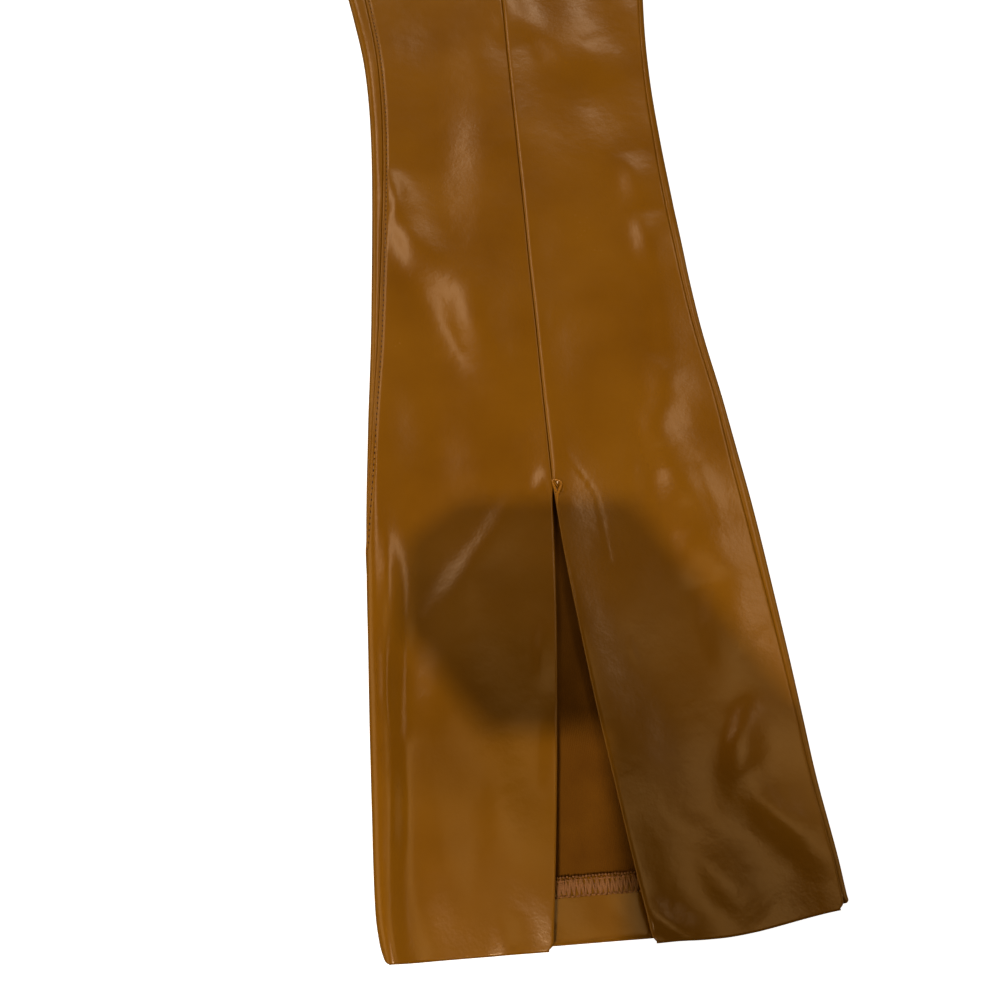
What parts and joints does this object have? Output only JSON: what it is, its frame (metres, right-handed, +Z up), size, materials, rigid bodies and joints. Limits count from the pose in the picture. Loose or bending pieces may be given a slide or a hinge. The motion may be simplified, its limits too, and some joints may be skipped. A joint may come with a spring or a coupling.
{
  "type": "flared faux leather trousers, laid flat",
  "caption": "Pull-on flared faux leather trousers laid flat with the front up, each leg with a centre seam that ends in a front hem slit.",
  "frame": {"origin": "under the middle of the garment, on the surface that it lies on", "axes": "+Y from the hems to the waist, +X to the wearer's left, which is the picture's leg, +Z up, out of the front"},
  "size_m": [0.771, 1.0386, 0.0089],
  "materials": {
    "leather": "smooth glossy tan polyurethane face on a knitted backing",
    "backing": "matt suede-like knitted backing with the coated allowance of the hem"
  },
  "bodies": {
    "root": {"front_inner_left": "leather", "front_outer_left": "leather", "back_left": "leather", "back_hem_turnup_left": "backing", "front_inner_right": "leather", "front_outer_right": "leather", "back_right": "leather", "back_hem_turnup_right": "backing", "waistband_front": "leather", "waistband_back": "leather"}
  },
  "joints": []
}
